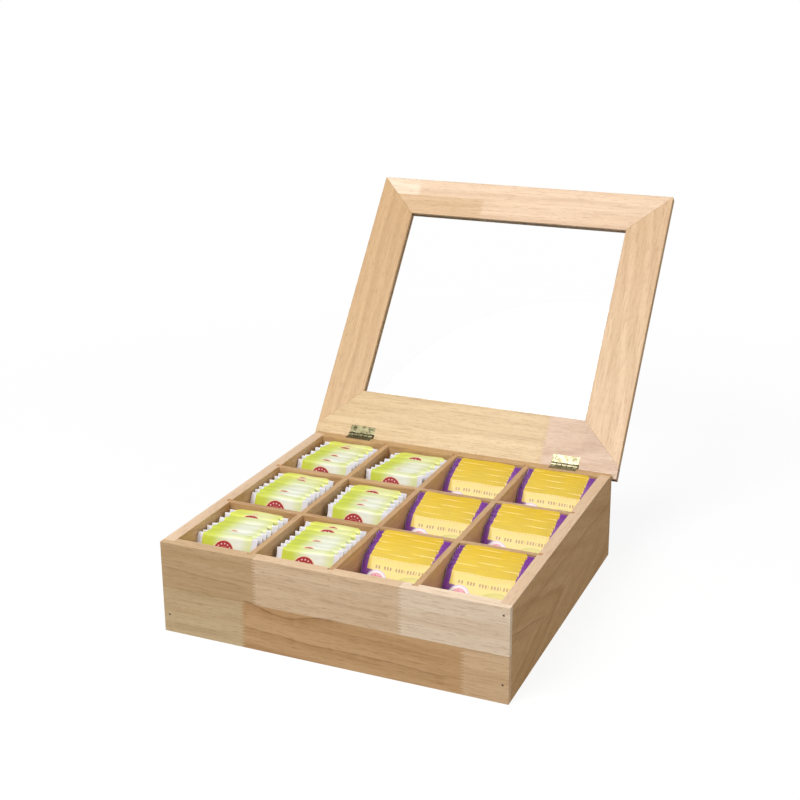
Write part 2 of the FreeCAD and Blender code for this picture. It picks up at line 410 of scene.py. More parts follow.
class SharedEffects:
    """Builds the effects that more than one material uses."""

    def build(self) -> None:
        """Makes every shared group once."""
        self.finger_joint()
        self.wood_grain()
        self.vein()
        self.disc()
        self.band()
        self.film_creases()

    @staticmethod
    def finger_joint() -> None:
        """A zigzag glue joint between two staves of one strip of a laminated board."""
        def body(t: Tree, ins: Sockets) -> dict[str, Socket]:
            """Draws the group."""
            along, across, _ = t.parts(ins["Vector"])
            tooth = t.math("PINGPONG", across, 0.00132)
            zigzag = t.math("MULTIPLY_ADD", tooth, 3.4, third=-0.00255)
            reach = t.minus(t.plus(along, zigzag), ins["Place"])
            in_strip = t.times(t.math("GREATER_THAN", across, ins["Low"]),
                              t.math("LESS_THAN", across, ins["High"]))
            beyond = t.times(t.remap(reach, -0.0002, 0.0002), in_strip)
            line = t.remap(t.math("ABSOLUTE", reach), 0.0001, 0.0005, 1.0, 0.0)
            return {"Beyond": beyond, "Seam": t.times(line, in_strip)}

        Effect("finger_joint",
               (("Vector", "Vector", None), ("Place", "Float", 0.0), ("Low", "Float", 0.0),
                ("High", "Float", 1.0)),
               (("Beyond", "Float"), ("Seam", "Float"))).build(body)

    @staticmethod
    def wood_grain() -> None:
        """Figure, streaks and pores of rubberwood, running along the first axis of its vector."""
        def body(t: Tree, ins: Sockets) -> dict[str, Socket]:
            """Draws the group."""
            at, figure = ins["Vector"], ins["Figure"]
            u, v, w = t.parts(at)
            drift = t.noise(t.vector("MULTIPLY", at, (6.0, 17.0, 17.0)), 1.0, 3.0, 0.55)
            wander = t.math("MULTIPLY_ADD", drift, 0.018, third=-0.009)
            cone = t.math("SQRT", t.plus(t.math("POWER", v, 2.0), 0.00002))
            cone = t.plus(cone, t.times(u, 0.27))
            plain = t.plus(v, t.times(w, 0.35))
            ring = t.plus(t.times(cone, figure),
                          t.times(plain, t.minus(1.0, figure)))
            ring = t.plus(ring, wander)
            bands = t.noise(t.joined(t.times(ring, 120.0), t.times(u, 1.2),
                                     t.times(w, 9.0)), 1.0, 3.0, 0.6)
            lines = t.noise(t.joined(t.times(ring, 52.0), 3.7, 1.3), 1.0, 1.0, 0.4)
            lines = t.remap(t.math("ABSOLUTE", t.minus(lines, 0.5)), 0.0, 0.03, 1.0, 0.0)
            fibre = t.noise(t.vector("MULTIPLY", at, (22.0, 560.0, 560.0)), 1.0, 4.0, 0.7)
            dashes = t.remap(t.noise(t.vector("MULTIPLY", at, (95.0, 1050.0, 1050.0)), 1.0, 1.0, 0.4),
                             0.56, 0.70)
            pores = t.remap(t.noise(t.vector("MULTIPLY", at, (210.0, 2300.0, 2300.0)), 1.0, 1.0, 0.4),
                            0.60, 0.72)
            clouds = t.noise(t.vector("MULTIPLY", at, (9.0, 30.0, 30.0)), 1.0, 2.0)
            shade = t.remap(bands, 0.30, 0.72)
            shade = t.math("MULTIPLY_ADD", shade, 0.62, third=t.times(clouds, 0.36))
            colour = t.mix(shade, ins["Light"], ins["Dark"])
            deep = t.mix(1.0, ins["Dark"], (0.66, 0.53, 0.42), "MULTIPLY")
            colour = t.mix(t.times(lines, t.times(ins["Lines"], 0.9)), colour, deep)
            colour = t.mix(t.times(t.remap(fibre, 0.46, 0.74), 0.38), colour, deep)
            colour = t.mix(t.times(dashes, 0.34), colour, deep)
            colour = t.mix(t.times(pores, 0.30), colour, deep)
            height = t.minus(t.times(fibre, 0.35), pores)
            rough = t.math("MULTIPLY_ADD", fibre, 0.14, third=t.math("MULTIPLY_ADD", pores, 0.15, third=0.36))
            return {"Colour": colour, "Height": height, "Rough": rough}

        Effect("wood_grain",
               (("Vector", "Vector", None), ("Figure", "Float", 0.0), ("Lines", "Float", 0.3),
                ("Light", "Color", None), ("Dark", "Color", None)),
               (("Colour", "Color"), ("Height", "Float"), ("Rough", "Float"))).build(body)

    @staticmethod
    def vein() -> None:
        """One dark growth line that wanders along a board and may dip, with a soft shade below it."""
        def body(t: Tree, ins: Sockets) -> dict[str, Socket]:
            """Draws the group."""
            u, v, _ = t.parts(ins["Vector"])
            away = t.math("DIVIDE", t.minus(u, ins["Dip At"]), ins["Dip Wide"])
            dip = t.math("POWER", 2.718, t.times(t.math("POWER", away, 2.0), -1.0))
            line = t.math("MULTIPLY_ADD", t.minus(u, ins["Start"]), ins["Slope"],
                          third=ins["Height"])
            line = t.minus(line, t.times(dip, ins["Dip"]))
            wobble = t.noise(t.joined(t.times(u, 28.0), ins["Height"], 0.0), 1.0, 3.0, 0.6)
            line = t.plus(line, t.math("MULTIPLY_ADD", wobble, 0.0050, third=-0.0025))
            off = t.minus(v, line)
            stroke = t.remap(t.math("ABSOLUTE", off), 0.0001, ins["Thick"], 1.0, 0.0)
            shade = t.times(t.remap(off, -0.0085, 0.0), t.math("LESS_THAN", off, 0.0))
            past = t.remap(t.minus(u, ins["Start"]), 0.0, 0.008)
            left = t.remap(t.minus(ins["End"], u), 0.0, 0.02)
            uneven = t.remap(t.noise(t.joined(t.times(u, 60.0), 0.0, 5.0), 1.0, 2.0), 0.25, 0.6, 0.45, 1.0)
            reach = t.times(t.times(past, left), uneven)
            whole = t.math("MAXIMUM", stroke, t.times(shade, 0.42))
            return {"Mask": t.times(whole, reach)}

        Effect("vein",
               (("Vector", "Vector", None), ("Start", "Float", 0.0), ("End", "Float", 0.0),
                ("Height", "Float", 0.0), ("Slope", "Float", 0.0), ("Dip", "Float", 0.0),
                ("Dip At", "Float", 0.0), ("Dip Wide", "Float", 1.0), ("Thick", "Float", 0.0012)),
               (("Mask", "Float"),)).build(body)

    @staticmethod
    def disc() -> None:
        """A round or oval printed spot."""
        def body(t: Tree, ins: Sockets) -> dict[str, Socket]:
            """Draws the group."""
            away = t.vector("SUBTRACT", ins["Vector"], ins["Centre"])
            away = t.vector("DIVIDE", away, ins["Radii"])
            far = t.vector("LENGTH", t.vector("MULTIPLY", away, (1.0, 1.0, 0.0)))
            return {"Mask": t.remap(far, 0.985, 1.015, 1.0, 0.0, smooth=False), "Far": far}

        Effect("disc",
               (("Vector", "Vector", None), ("Centre", "Vector", None), ("Radii", "Vector", (1, 1, 1))),
               (("Mask", "Float"), ("Far", "Float"))).build(body)

    @staticmethod
    def band() -> None:
        """A printed stripe between two limits."""
        def body(t: Tree, ins: Sockets) -> dict[str, Socket]:
            """Draws the group."""
            value = ins["Value"]
            above = t.math("DIVIDE", t.minus(value, ins["Low"]), ins["Soft"], clamp=True)
            below = t.math("DIVIDE", t.minus(ins["High"], value), ins["Soft"], clamp=True)
            return {"Mask": t.times(above, below)}

        Effect("band",
               (("Value", "Float", 0.0), ("Low", "Float", 0.0), ("High", "Float", 1.0),
                ("Soft", "Float", 0.0003)),
               (("Mask", "Float"),)).build(body)

    @staticmethod
    def film_creases() -> None:
        """Soft crumples of a wrapper, and the pressed ribs of its two sealed ends."""
        def body(t: Tree, ins: Sockets) -> dict[str, Socket]:
            """Draws the group."""
            at, seal = ins["Vector"], ins["Seal"]
            across, _, _ = t.parts(at)
            crumple = t.noise(t.vector("MULTIPLY", at, (60.0, 150.0, 1.0)), 1.0, 4.0, 0.55)
            pull = t.noise(t.vector("MULTIPLY", at, (45.0, 420.0, 1.0)), 1.0, 2.0)
            ribs = t.math("SINE", t.times(across, 7500.0))
            height = t.math("MULTIPLY_ADD", crumple, 0.7, third=t.times(pull, 0.45))
            height = t.math("MULTIPLY_ADD", t.times(ribs, seal), 0.25, third=height)
            return {"Height": height, "Crumple": crumple}

        Effect("film_creases",
               (("Vector", "Vector", None), ("Seal", "Float", 0.0)),
               (("Height", "Float"), ("Crumple", "Float"))).build(body)


# ---------------------------------------------------------------------------------------------
# where the boards lie


class Lie(Enum):
    """How a board lies: the directions along its grain, across it and through it."""

    FRONT = ((1, 0, 0), (0, 0, 1), (0, -1, 0))
    SIDE = ((0, 1, 0), (0, 0, 1), (1, 0, 0))
    FLAT_ACROSS = ((1, 0, 0), (0, 1, 0), (0, 0, 1))
    FLAT_AWAY = ((0, 1, 0), (-1, 0, 0), (0, 0, 1))

    def matrix(self) -> Matrix:
        """The turn from the case's directions to the board's."""
        return Matrix(self.value)


@dataclass(frozen=True)
class Hinging:
    """The lid's pivot and how far it is laid back."""

    pivot: Vector
    opened: float

    @staticmethod
    def read() -> "Hinging":
        """The pivot and angle of the frame's one joint."""
        joint = frame["joints"][0]
        return Hinging(Vector(joint["pos_m"]), math.radians(joint["range_deg"][1]))

    def closing(self) -> Matrix:
        """The turn that would shut the lid."""
        back, there = Matrix.Translation(-self.pivot), Matrix.Translation(self.pivot)
        return there @ Matrix.Rotation(self.opened, 4, "X") @ back

    def opening(self) -> Matrix:
        """The turn that lays a shut lid back."""
        return self.closing().inverted()


# ---------------------------------------------------------------------------------------------
# wood


@dataclass(frozen=True)
class Stave:
    """One length of wood in a laminated strip, from its finger joint onwards."""

    start: float
    light: Colour
    dark: Colour
    figure: float = 0.0
    lines: float = 0.25
    shift: tuple[float, float, float] = (0.0, 0.0, 0.0)


@dataclass(frozen=True)
class Strip:
    """One strip of a laminated board, between two limits across the board."""

    low: float
    high: float
    staves: tuple[Stave, ...]


@dataclass(frozen=True)
class Vein:
    """A marked growth line on a board; lengths along and across the board."""

    start: float
    end: float
    height: float
    slope: float = 0.0
    dip: float = 0.0
    dip_at: float = 0.0
    dip_wide: float = 1.0
    thick: float = 0.0013
    strength: float = 0.55


@dataclass(frozen=True)
class WoodFinish:
    """Satin lacquered rubberwood, laminated from strips of finger-jointed staves."""

    name: str
    strips: tuple[Strip, ...]
    veins: tuple[Vein, ...] = ()
    coat: float = 0.12

    def material(self, lie: Lie, hinging: Hinging | None = None) -> Material:
        """Makes the board's material.

        Args:
            lie: how the board lies.
            hinging: the lid's hinging for a board of the lid, none for one of the case.

        Returns:
            The material, its grain following the board.
        """
        made, t, shader = begin_material(self.name)
        turn = lie.matrix().to_4x4() @ (hinging.closing() if hinging else Matrix.Identity(4))
        mapping = t.node("Mapping", vector_type="POINT")
        t.feed(mapping.inputs["Vector"], t.node("TexCoord").outputs["Object"])
        mapping.inputs["Location"].default_value = turn.to_translation()
        mapping.inputs["Rotation"].default_value = turn.to_3x3().to_euler("XYZ")
        board = mapping.outputs[0]
        light, dark, shift, habit, seams = self.staves(t, board)
        figure, lines, _ = t.parts(habit)
        grain = t.group("wood_grain", Vector=t.vector("ADD", board, shift), Figure=figure, Lines=lines,
                        Light=light, Dark=dark)
        colour = grain.outputs["Colour"]
        deep = t.mix(1.0, dark, (0.55, 0.42, 0.31), "MULTIPLY")
        for vein in self.veins:
            mark = t.group("vein", Vector=board, Start=vein.start, End=vein.end, Height=vein.height,
                           Slope=vein.slope, Dip=vein.dip, Thick=vein.thick,
                           **{"Dip At": vein.dip_at, "Dip Wide": vein.dip_wide})
            colour = t.mix(t.times(mark.outputs["Mask"], vein.strength), colour, deep)
        if seams is not None:
            colour = t.mix(t.times(seams, 0.3), colour, deep)
        t.feed(shader.inputs["Base Color"], colour)
        t.feed(shader.inputs["Roughness"], grain.outputs["Rough"])
        shader.inputs["Coat Weight"].default_value = self.coat
        shader.inputs["Coat Roughness"].default_value = 0.3
        t.bump(shader, grain.outputs["Height"], 0.35, 0.00012)
        return made

    def staves(self, t: Tree, board: Socket) -> tuple[object, ...]:
        """Chooses each stave's colours, figure and shift by its place on the board.

        Args:
            t: the material's tree.
            board: the place on the board.

        Returns:
            Light colour, dark colour, shift, habit (figure and lines) and the joints' lines.
        """
        first = self.strips[0].staves[0]
        light, dark, shift = (*first.light, 1.0), (*first.dark, 1.0), first.shift
        habit, seams = (first.figure, first.lines, 0.0), None
        for strip in self.strips:
            for number, stave in enumerate(strip.staves):
                if stave is first:
                    continue
                joint = t.group("finger_joint", Vector=board, Low=strip.low, High=strip.high,
                                Place=stave.start if number else -9.0)
                mask = joint.outputs["Beyond"]
                light = t.mix(mask, light, stave.light)
                dark = t.mix(mask, dark, stave.dark)
                shift = t.mix_vector(mask, shift, stave.shift)
                habit = t.mix_vector(mask, habit, (stave.figure, stave.lines, 0.0))
                if number:
                    line = joint.outputs["Seam"]
                    seams = line if seams is None else t.math("MAXIMUM", seams, line)
        if isinstance(shift, tuple):
            shift, habit = t.joined(*shift), t.joined(*habit)
        return light, dark, shift, habit, seams


def timber(red: float, green: float, blue: float, contrast: float = 1.0) -> tuple[Colour, Colour]:
    """The light and dark tones of a wood around one middle colour.

    Args:
        red: the middle colour's red, from 0 to 255.
        green: its green.
        blue: its blue.
        contrast: how far the tones are apart.

    Returns:
        The light tone and the dark tone.
    """
    middle = tone(red, green, blue)
    rise, fall = (0.14, 0.16, 0.20), (0.08, 0.14, 0.22)
    return (tuple(value * (1 + contrast * part) for value, part in zip(middle, rise)),
            tuple(value * (1 - contrast * part) for value, part in zip(middle, fall)))


class Tones:
    """Light and dark tones of the staves."""

    TAN = timber(208, 175, 133)
    STRAW = timber(219, 193, 151)
    ROSY = timber(232, 202, 166)
    AMBER = timber(214, 173, 126, 1.3)
    CREAM = timber(246, 223, 195)
    FAWN = timber(230, 195, 154)
    SHADED = timber(212, 172, 122, 1.3)
    HONEY = timber(206, 169, 121, 1.2)
    BUTTER = timber(212, 183, 133)
    PEACH = timber(233, 203, 170)
    APRICOT = timber(216, 181, 139)
    PINK = timber(204, 173, 144, 1.2)
    UMBER = timber(205, 167, 122, 1.3)


def plain_board(name: str, pair: tuple[Colour, Colour], seed: int, figure: float = 0.0,
                lines: float = 0.3) -> WoodFinish:
    """The finish of a board cut from one length of wood.

    Args:
        name: the finish's name.
        pair: its light and dark tones.
        seed: sets where in the log it comes from.
        figure: 0 for straight grain, 1 for arches.
        lines: how strong its dark lines are.

    Returns:
        The finish.
    """
    shift = (0.31 * seed, 0.017 * seed, 0.013 * seed)
    return WoodFinish(name, (Strip(-1.0, 1.0, (Stave(-9.0, *pair, figure, lines, shift),)),))


@dataclass
class Board:
    """A wooden part: the CAD shape with its edges eased."""

    node: str
    body: str
    slot: str
    finish: WoodFinish
    lie: Lie
    eased: float = 0.0008
    faint: float = 0.3

    def build(self, planes: Sequence[tuple[Vector, float]], hinging: Hinging | None) -> Piece:
        """Makes the board.

        Args:
            planes: the assembly's outer planes, as normals and distances, where edges are eased most.
            hinging: the lid's hinging for a board of the lid.

        Returns:
            The finished piece.
        """
        piece = Bench.from_node(self.node, "wood_" + self.node)
        self.ease(piece, planes)
        piece.data.materials.append(self.finish.material(self.lie, hinging))
        Bench.smooth(piece, 50)
        Bench.level(piece)
        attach(piece, self.body)
        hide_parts(self.node)
        LOG.info("board %s: %d faces", self.node, len(piece.data.polygons))
        return piece

    def ease(self, piece: Piece, planes: Sequence[tuple[Vector, float]]) -> None:
        """Rounds the board's edges, the outer ones most and those at joints hardly.

        Args:
            piece: the board.
            planes: the assembly's outer planes.
        """
        mesh = piece.data
        weights = mesh.attributes.new("bevel_weight_edge", "FLOAT", "EDGE")
        for edge in mesh.edges:
            ends = [mesh.vertices[index].co for index in edge.vertices]
            shared = sum(all(abs(normal.dot(end) - far) < 2e-5 for end in ends) for normal, far in planes)
            weights.data[edge.index].value = 1.0 if shared >= 2 else self.faint
        Bench.modify(piece, "BEVEL", width=self.eased, segments=2, limit_method="WEIGHT",
                     harden_normals=False)


# ---------------------------------------------------------------------------------------------
# case


@dataclass
class Case:
    """Four walls, the floor panel, the dividers and the corner nails."""

    body: str = "case"
    slot: str = "case_wood"
    nail_slot: str = "nail_steel"

    def front_finish(self) -> WoodFinish:
        """The front panel: two laminated strips with a finger joint or two in each."""
        upper = Strip(0.040, 0.081, (
            Stave(-9.0, *Tones.TAN, 0.0, 0.25, (0.0, 0.010, 0.02)),
            Stave(-0.065, *Tones.ROSY, 0.0, 0.25, (0.4, -0.055, 0.05)),
            Stave(0.061, *Tones.CREAM, 0.0, 0.05, (0.9, 0.030, 0.09))))
        lower = Strip(-0.001, 0.040, (
            Stave(-9.0, *Tones.STRAW, 0.0, 0.10, (1.3, 0.020, 0.02)),
            Stave(-0.076, *Tones.AMBER, 0.15, 0.45, (0.1, -0.022, 0.04)),
            Stave(0.112, *Tones.FAWN, 0.0, 0.30, (1.9, 0.012, 0.07))))
        veins = (Vein(-0.078, 0.020, 0.0425, -0.02, 0.0080, -0.038, 0.024, 0.0015, 0.7),
                 Vein(-0.076, 0.112, 0.0185, -0.035, 0.0020, -0.015, 0.02, 0.0011, 0.6),
                 Vein(-0.030, 0.110, 0.0330, -0.045, 0.0, 0.0, 1.0, 0.0010, 0.35),
                 Vein(-0.151, -0.064, 0.0585, -0.070, 0.0, 0.0, 1.0, 0.0016, 0.4),
                 Vein(-0.140, -0.072, 0.0402, 0.0, 0.0, 0.0, 1.0, 0.0009, 0.4),
                 Vein(-0.064, 0.062, 0.0705, -0.02, 0.0, 0.0, 1.0, 0.0010, 0.25),
                 Vein(-0.010, 0.060, 0.0570, -0.03, 0.0, 0.0, 1.0, 0.0016, 0.32),
                 Vein(-0.145, -0.078, 0.0080, 0.02, 0.0, 0.0, 1.0, 0.0012, 0.35))
        return WoodFinish("front_panel_wood", (upper, lower), veins)

    def side_finish(self, name: str, seed: float) -> WoodFinish:
        """A side panel: one wide board with arches running in from its front, and a pale band along its top edge that
        is painted light on the rim.
        """
        stave = Stave(-9.0, *Tones.SHADED, 1.0, 0.35, (seed, -0.033, 0.03 * seed))
        # painted light: the top 1.7 mm of the board, at its rim, takes the pale PEACH tone, as if the rim caught the
        # light from above
        edge = Stave(-9.0, *Tones.PEACH, 0.0, 0.2, (seed, 0.02, 0.03 * seed))
        veins = (Vein(-0.141, 0.141, 0.0625, -0.028, 0.0, 0.0, 1.0, 0.0014, 0.4),
                 Vein(-0.141, -0.052, 0.0560, -0.27, 0.0, 0.0, 1.0, 0.0013, 0.6),
                 Vein(-0.141, -0.052, 0.0100, 0.25, 0.0, 0.0, 1.0, 0.0013, 0.5))
        return WoodFinish(name, (Strip(-0.001, 0.0793, (stave,)), Strip(0.0793, 0.081, (edge,))), veins)

    def boards(self) -> list[Board]:
        """Every wooden part of the case."""
        made = [
            Board("panel_front", self.body, self.slot, self.front_finish(), Lie.FRONT),
            Board("panel_back", self.body, self.slot, plain_board("back_panel_wood", Tones.HONEY, 5), Lie.FRONT),
            Board("panel_left", self.body, self.slot, self.side_finish("left_panel_wood", 2.3), Lie.SIDE),
            Board("panel_right", self.body, self.slot, self.side_finish("right_panel_wood", 0.14), Lie.SIDE),
            Board("panel_floor", self.body, self.slot, plain_board("floor_panel_wood", Tones.UMBER, 7),
                  Lie.FLAT_ACROSS),
        ]
        for number in (1, 2, 3):
            finish = plain_board(f"long_divider_wood_{number}", Tones.UMBER, 10 + number)
            made.append(Board(f"divider_long_{number}", self.body, self.slot, finish, Lie.SIDE, 0.0004, 0.5))
        for number in (1, 2):
            finish = plain_board(f"cross_divider_wood_{number}", Tones.UMBER, 20 + number)
            made.append(Board(f"divider_cross_{number}", self.body, self.slot, finish, Lie.FRONT, 0.0004, 0.5))
        return made

    def planes(self) -> list[tuple[Vector, float]]:
        """The case's outer and inner faces and its rim."""
        low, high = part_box("panel_front"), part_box("panel_back")
        left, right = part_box("panel_left"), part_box("panel_right")
        x, y, z = Vector((1, 0, 0)), Vector((0, 1, 0)), Vector((0, 0, 1))
        return [(x, low[0].x), (x, low[1].x), (y, low[0].y), (y, high[1].y), (z, low[0].z), (z, low[1].z),
                (x, left[1].x), (x, right[0].x), (y, low[1].y), (y, high[0].y)]

    def nail(self) -> Piece:
        """One nail with a slightly domed, punched head, its point towards +Y from the origin."""
        low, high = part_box("brad_1")
        radius, length = (high.x - low.x) / 2, high.y - low.y
        Bench.clear()
        bpy.ops.mesh.primitive_cylinder_add(vertices=20, radius=radius, depth=length,
                                            location=(0, length / 2, 0), rotation=(math.pi / 2, 0, 0))
        piece = Bench.finish(bpy.context.object, "nail")
        Bench.pick_faces(piece, lambda face: face.normal.y < -0.9)

        def steps() -> None:
            """Insets the head, sinks its middle, and eases its rim."""
            bpy.ops.mesh.inset(thickness=radius * 0.22, depth=0.0)
            bpy.ops.mesh.inset(thickness=radius * 0.3, depth=-radius * 0.16)

        Bench.edit(piece, steps, everything=False)
        Bench.modify(piece, "BEVEL", width=radius * 0.15, segments=2, limit_method="ANGLE",
                     angle_limit=math.radians(50))
        Bench.smooth(piece, 40)
        return piece

    def build(self, nail_material: Material) -> None:
        """Makes the case's boards and nails.

        Args:
            nail_material: the nails' metal.
        """
        planes = self.planes()
        for board in self.boards():
            board.build(planes, None)
        pattern = self.nail()
        for node in sorted(name for name in frame["nodes"] if name.startswith("brad_")):
            low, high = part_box(node)
            piece = Bench.copy_of(pattern, "nail_" + node[-1])
            piece.location = ((low.x + high.x) / 2, low.y, (low.z + high.z) / 2)
            Bench.finish(piece, piece.name)
            piece.data.materials.append(nail_material)
            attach(piece, self.body)
            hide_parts(node)
        bpy.data.objects.remove(pattern)
        LOG.info("case built")


# ---------------------------------------------------------------------------------------------
# lid and hinges


@dataclass
class Lid:
    """The mitred frame and its clear pane."""

    hinging: Hinging
    body: str = "lid"
    slot: str = "lid_wood"

    def front_finish(self) -> WoodFinish:
        """The rail at the lid's free edge: a pale stave let into its outer strip."""
        outer = Strip(-0.143, -0.1235, (
            Stave(-9.0, *Tones.CREAM, 0.0, 0.1, (0.2, 0.05, 0.0)),
            Stave(-0.112, *Tones.PEACH, 0.0, 0.45, (0.7, 0.11, 0.02))))
        inner = Strip(-0.1235, -0.100, (
            Stave(-9.0, *Tones.APRICOT, 0.0, 0.30, (1.4, 0.09, 0.04)),
            Stave(-0.040, *Tones.PEACH, 0.0, 0.35, (1.9, 0.10, 0.05))))
        return WoodFinish("lid_front_rail_wood", (outer, inner))

    def hinge_finish(self) -> WoodFinish:
        """The rail at the hinges: a long buttery stave, then a pinkish one."""
        strip = Strip(0.0, 0.2, (
            Stave(-9.0, *Tones.BUTTER, 0.0, 0.22, (0.3, -0.12, 0.03)),
            Stave(0.080, *Tones.PINK, 0.5, 0.4, (-0.03, -0.125, 0.06))))
        return WoodFinish("lid_hinge_rail_wood", (strip,))

    def side_finish(self, name: str, pair: tuple[Colour, Colour], figure: float, shift: tuple[float, float, float],
                    lines: float) -> WoodFinish:
        """A side rail, one length of wood."""
        return WoodFinish(name, (Strip(-1.0, 1.0, (Stave(-9.0, *pair, figure, lines, shift),)),))

    def boards(self) -> list[Board]:
        """The four rails."""
        left = self.side_finish("lid_left_rail_wood", Tones.HONEY, 0.0, (0.5, -0.13, 0.02), 0.2)
        right = self.side_finish("lid_right_rail_wood", Tones.APRICOT, 0.5, (0.02, 0.172, 0.05), 0.2)
        return [
            Board("lid_rail_front", self.body, self.slot, self.front_finish(), Lie.FLAT_ACROSS),
            Board("lid_rail_hinge", self.body, self.slot, self.hinge_finish(), Lie.FLAT_ACROSS),
            Board("lid_rail_left", self.body, self.slot, left, Lie.FLAT_AWAY),
            Board("lid_rail_right", self.body, self.slot, right, Lie.FLAT_AWAY),
        ]

    def planes(self) -> list[tuple[Vector, float]]:
        """The laid-back lid's outer faces and the faces round its window."""
        shut = self.hinging.closing()
        rails = [[shut @ Vector(vertex.co) for vertex in frame["nodes"][node].data.vertices]
                 for node in ("lid_rail_front", "lid_rail_hinge")]
        corners = rails[0] + rails[1]
        low = [min(corner[axis] for corner in corners) for axis in range(3)]
        high = [max(corner[axis] for corner in corners) for axis in range(3)]
        inner = [shut @ Vector(vertex.co) for vertex in frame["nodes"]["lid_rail_left"].data.vertices]
        window = max(corner.x for corner in inner)
        places = [(0, low[0]), (0, high[0]), (1, low[1]), (1, high[1]), (2, low[2]), (2, high[2]),
                  (0, window), (0, -window),
                  (1, max(corner.y for corner in rails[0])), (1, min(corner.y for corner in rails[1]))]
        turn = self.hinging.opening()
        planes = []
        for axis, place in places:
            normal = Vector([1.0 if index == axis else 0.0 for index in range(3)])
            point = turn @ (normal * place)
            outward = (turn.to_3x3() @ normal).normalized()
            planes.append((outward, outward.dot(point)))
        return planes

    def build(self, pane_material: Material) -> None:
        """Makes the rails and gives the pane its finish.

        Args:
            pane_material: the clear sheet's material.
        """
        planes = self.planes()
        for board in self.boards():
            board.build(planes, self.hinging)
        pane = frame["nodes"]["lid_pane"]
        pane.data.materials.clear()
        pane.data.materials.append(pane_material)
        LOG.info("lid built")


@dataclass
class Hinges:
    """Two butt hinges: their leaves, pins and screws."""

    hinging: Hinging
    slot: str = "hinge_brass"

    def build(self, left: Material, right: Material) -> None:
        """Makes the hinges.

        Args:
            left: the left hinge's metal, painted duller than the right as painted shade.
            right: the right hinge's metal, painted brighter as a painted reflection.
        """
        pattern = self.screw()
        for node in sorted(frame["nodes"]):
            low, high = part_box(node)
            brass = left if low.x + high.x < 0 else right
            if node.startswith("hinge_"):
                self.plate(node, brass)
            if node.startswith("screw_"):
                self.place_screw(node, pattern, brass)
        bpy.data.objects.remove(pattern)
        LOG.info("hinges built")

    def plate(self, node: str, brass: Material) -> None:
        """A leaf or a pin with its edges broken.

        Args:
            node: the CAD node.
            brass: its metal.
        """
        piece = Bench.from_node(node, "metal_" + node)
        Bench.modify(piece, "BEVEL", width=0.00018, segments=2, limit_method="ANGLE", angle_limit=math.radians(50))
        Bench.smooth(piece, 40)
        Bench.level(piece)
        piece.data.materials.append(brass)
        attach(piece, "lid" if "lid_leaf" in node else "case")
        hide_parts(node)

    def screw(self) -> Piece:
        """One screw with a crossed recess, its head's face at the origin and its point down."""
        low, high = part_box("screw_case_1")
        head, length = (high.x - low.x) / 2, high.z - low.z
        Bench.clear()
        bpy.ops.mesh.primitive_cylinder_add(vertices=28, radius=head * 0.97, depth=0.0006, location=(0, 0, -0.0003))
        piece = Bench.finish(bpy.context.object, "screw")
        Bench.pick_faces(piece, lambda face: face.normal.z < -0.9)

        def steps() -> None:
            """Draws the shank out of the underside of the head and tapers its end."""
            bpy.ops.mesh.inset(thickness=head * 0.5, depth=0.0)
            bpy.ops.mesh.extrude_region_move(TRANSFORM_OT_translate={"value": (0, 0, -(length - 0.0016))})
            bpy.ops.mesh.extrude_region_move(TRANSFORM_OT_translate={"value": (0, 0, -0.0010)})
            bpy.ops.transform.resize(value=(0.3, 0.3, 1.0))

        Bench.edit(piece, steps, everything=False)
        Bench.modify(piece, "BEVEL", width=0.00012, segments=2, limit_method="ANGLE", angle_limit=math.radians(50))
        for turn in (0.0, math.pi / 2):
            Bench.clear()
            bpy.ops.mesh.primitive_cube_add(size=1, location=(0, 0, 0), rotation=(0, 0, turn + 0.4))
            cutter = bpy.context.object
            cutter.scale = (head * 1.35, head * 0.30, 0.0007)
            Bench.finish(cutter, "recess_cutter")
            Bench.modify(piece, "BOOLEAN", object=cutter, operation="DIFFERENCE", solver="EXACT")
            bpy.data.objects.remove(cutter)
        Bench.smooth(piece, 40)
        return piece

    def place_screw(self, node: str, pattern: Piece, brass: Material) -> None:
        """Drives one screw where the CAD has it.

        Args:
            node: the CAD node.
            pattern: the screw that is copied.
            brass: its metal.
        """
        in_lid = node.startswith("screw_lid")
        shut = self.hinging.closing() if in_lid else Matrix.Identity(4)
        corners = [shut @ Vector(vertex.co) for vertex in frame["nodes"][node].data.vertices]
        x = (min(c.x for c in corners) + max(c.x for c in corners)) / 2
        y = (min(c.y for c in corners) + max(c.y for c in corners)) / 2
        sunk = 0.00006 if in_lid else -0.00006
        place = Matrix.Translation((x, y, self.hinging.pivot.z + sunk))
        if in_lid:
            place = self.hinging.opening() @ place @ Matrix.Rotation(math.pi, 4, "X")
        piece = Bench.copy_of(pattern, "drive_" + node)
        piece.data.transform(place)
        piece.data.materials.append(brass)
        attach(piece, "lid" if in_lid else "case")
        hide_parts(node)


# ---------------------------------------------------------------------------------------------
# metal, pane and wrapper finishes


@dataclass(frozen=True)
class MetalFinish:
    """Worn metal with fine scratches and dull patches."""

    name: str
    bright: Colour
    dull: Colour
    rough: float

    def material(self) -> Material:
        """Makes the metal."""
        made, t, shader = begin_material(self.name)
        at = t.node("TexCoord").outputs["Object"]
        patches = t.noise(at, 260.0, 3.0)
        scratches = t.noise(t.vector("MULTIPLY", at, (300.0, 5200.0, 5200.0)), 1.0, 2.0)
        t.feed(shader.inputs["Base Color"], t.mix(t.remap(patches, 0.35, 0.75), self.bright, self.dull))
        rough = t.math("MULTIPLY_ADD", patches, 0.22, third=self.rough - 0.1)
        t.feed(shader.inputs["Roughness"], t.math("MULTIPLY_ADD", scratches, 0.1, third=rough))
        shader.inputs["Metallic"].default_value = 1.0
        t.bump(shader, scratches, 0.25, 0.00004)
        return made


